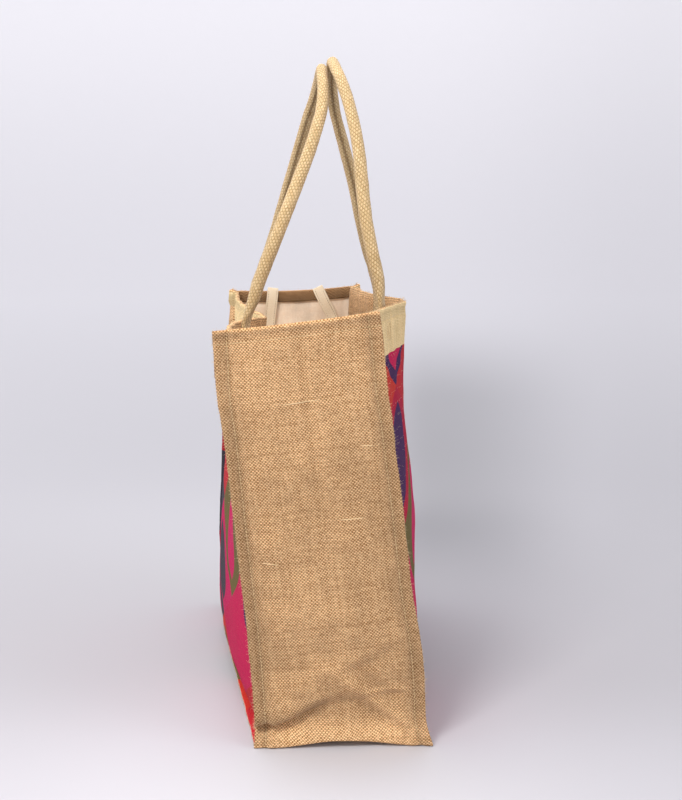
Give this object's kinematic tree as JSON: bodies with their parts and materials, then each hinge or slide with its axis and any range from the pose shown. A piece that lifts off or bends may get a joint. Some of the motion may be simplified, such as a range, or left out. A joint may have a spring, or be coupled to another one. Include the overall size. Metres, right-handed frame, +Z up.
{
  "type": "burlap bag",
  "caption": "Open-topped burlap carrying bag with long padded handles, standing empty, its top leaning to one side and its panels bowed.",
  "frame": {"origin": "middle of the sewn base, on the surface the bag stands on", "axes": "+Z up; +Y along the bag from the near end to the far end; +X across the ends, towards the right panel"},
  "size_m": [0.253, 0.4288, 0.6812],
  "materials": {
    "burlap": "plain woven jute, film-backed inside",
    "printed_burlap": "plain woven jute with printed colour fields, film-backed inside",
    "handle_webbing": "woven webbing sewn over a round core"
  },
  "bodies": {
    "root": {"gusset": "burlap", "panel_left": "printed_burlap", "panel_right": "printed_burlap", "handle_left": "handle_webbing", "handle_right": "handle_webbing", "tie_left": "handle_webbing", "tie_right": "handle_webbing"}
  },
  "joints": []
}
